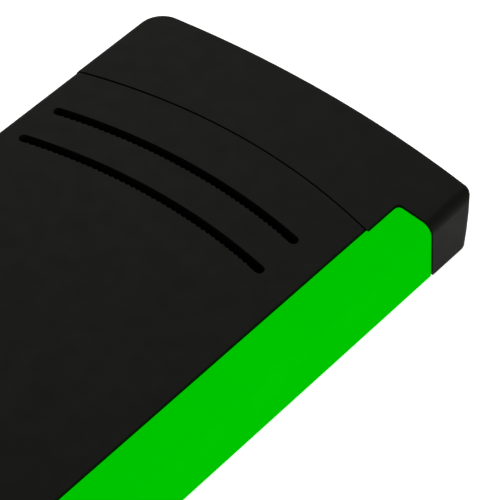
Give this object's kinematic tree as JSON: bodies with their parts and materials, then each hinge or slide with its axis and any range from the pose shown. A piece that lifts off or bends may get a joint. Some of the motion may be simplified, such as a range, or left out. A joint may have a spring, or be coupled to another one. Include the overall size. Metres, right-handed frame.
{
  "type": "rfid card reader",
  "caption": "Slim wall-mounted card reader with a black housing, curved sound slots in its front cover and a green light bar wrapped round its long edge.",
  "frame": {"origin": "centre of the back face, on the wall plane", "axes": "+Z out of the front, +Y to the hooded top end, +X to the light bar"},
  "size_m": [0.08, 0.126, 0.013],
  "materials": {
    "black_plastic": "fine moulded texture, satin black",
    "green_light": "lit green diffuser",
    "zinc_steel": "zinc plated sheet",
    "screw_steel": "plated",
    "mesh_cloth": "fine black cloth",
    "board": "solder resist",
    "copper": "copper track",
    "ferrite": "sintered sheet",
    "chip": "moulded package",
    "can_metal": "plated can",
    "capacitor_can": "aluminium can",
    "led_body": "white reflector",
    "white_plastic": "moulded white",
    "dip_blue": "moulded blue",
    "terminal_green": "moulded green"
  },
  "bodies": {
    "wall_mount": {"wall_plate": "zinc_steel"},
    "reader": {"housing": "black_plastic", "light_bar": "green_light", "reader_board": "board", "board_screw_1": "screw_steel", "board_screw_2": "screw_steel", "board_screw_3": "screw_steel", "board_screw_4": "screw_steel", "antenna_coil": "copper", "ferrite_sheet": "ferrite", "controller_chip": "chip", "radio_chip": "chip", "crystal": "can_metal", "sounder": "chip", "capacitor_1": "capacitor_can", "capacitor_2": "capacitor_can", "light_led_1": "led_body", "light_led_2": "led_body", "light_led_3": "led_body", "light_led_4": "led_body", "light_led_5": "led_body", "light_led_6": "led_body", "tamper_switch": "chip", "dip_switch": "dip_blue", "terminal_block": "terminal_green"},
    "cover": {"front_cover": "black_plastic", "slot_mesh": "mesh_cloth"},
    "lock_screw": {"lock_screw": "screw_steel"},
    "tamper_plunger": {"tamper_plunger": "white_plastic"},
    "dip_slider_1": {"dip_slider_1": "white_plastic"},
    "terminal_screw_1": {"terminal_screw_1": "screw_steel"},
    "dip_slider_2": {"dip_slider_2": "white_plastic"},
    "terminal_screw_2": {"terminal_screw_2": "screw_steel"},
    "dip_slider_3": {"dip_slider_3": "white_plastic"},
    "terminal_screw_3": {"terminal_screw_3": "screw_steel"},
    "dip_slider_4": {"dip_slider_4": "white_plastic"},
    "terminal_screw_4": {"terminal_screw_4": "screw_steel"}
  },
  "joints": [
    {"name": "reader_tilt", "type": "hinge", "parent": "wall_mount", "child": "reader", "pos_m": [0, 0.057, 0], "axis": [-1, 0, 0], "range_deg": [0, 12]},
    {"name": "cover_lift", "type": "slide", "parent": "reader", "child": "cover", "axis": [0, 0, 1], "range_m": [0, 0.03]},
    {"name": "lock_screw_turn", "type": "hinge", "parent": "reader", "child": "lock_screw", "pos_m": [0, -0.061, 0.0065], "axis": [0, -1, 0], "continuous": true},
    {"name": "tamper_press", "type": "slide", "parent": "reader", "child": "tamper_plunger", "axis": [0, 0, 1], "range_m": [-0.0007, 0], "stiffness_N_per_m": 150, "springref_m": 0.0005},
    {"name": "dip_slide_1", "type": "slide", "parent": "reader", "child": "dip_slider_1", "axis": [0, 1, 0], "range_m": [0, 0.0014]},
    {"name": "dip_slide_2", "type": "slide", "parent": "reader", "child": "dip_slider_2", "axis": [0, 1, 0], "range_m": [0, 0.0014]},
    {"name": "dip_slide_3", "type": "slide", "parent": "reader", "child": "dip_slider_3", "axis": [0, 1, 0], "range_m": [0, 0.0014]},
    {"name": "dip_slide_4", "type": "slide", "parent": "reader", "child": "dip_slider_4", "axis": [0, 1, 0], "range_m": [0, 0.0014]},
    {"name": "terminal_turn_1", "type": "hinge", "parent": "reader", "child": "terminal_screw_1", "pos_m": [-0.0075, 0.0276, 0.0023], "axis": [0, 0, -1], "continuous": true},
    {"name": "terminal_turn_2", "type": "hinge", "parent": "reader", "child": "terminal_screw_2", "pos_m": [-0.0025, 0.0276, 0.0023], "axis": [0, 0, -1], "continuous": true},
    {"name": "terminal_turn_3", "type": "hinge", "parent": "reader", "child": "terminal_screw_3", "pos_m": [0.0025, 0.0276, 0.0023], "axis": [0, 0, -1], "continuous": true},
    {"name": "terminal_turn_4", "type": "hinge", "parent": "reader", "child": "terminal_screw_4", "pos_m": [0.0075, 0.0276, 0.0023], "axis": [0, 0, -1], "continuous": true}
  ]
}
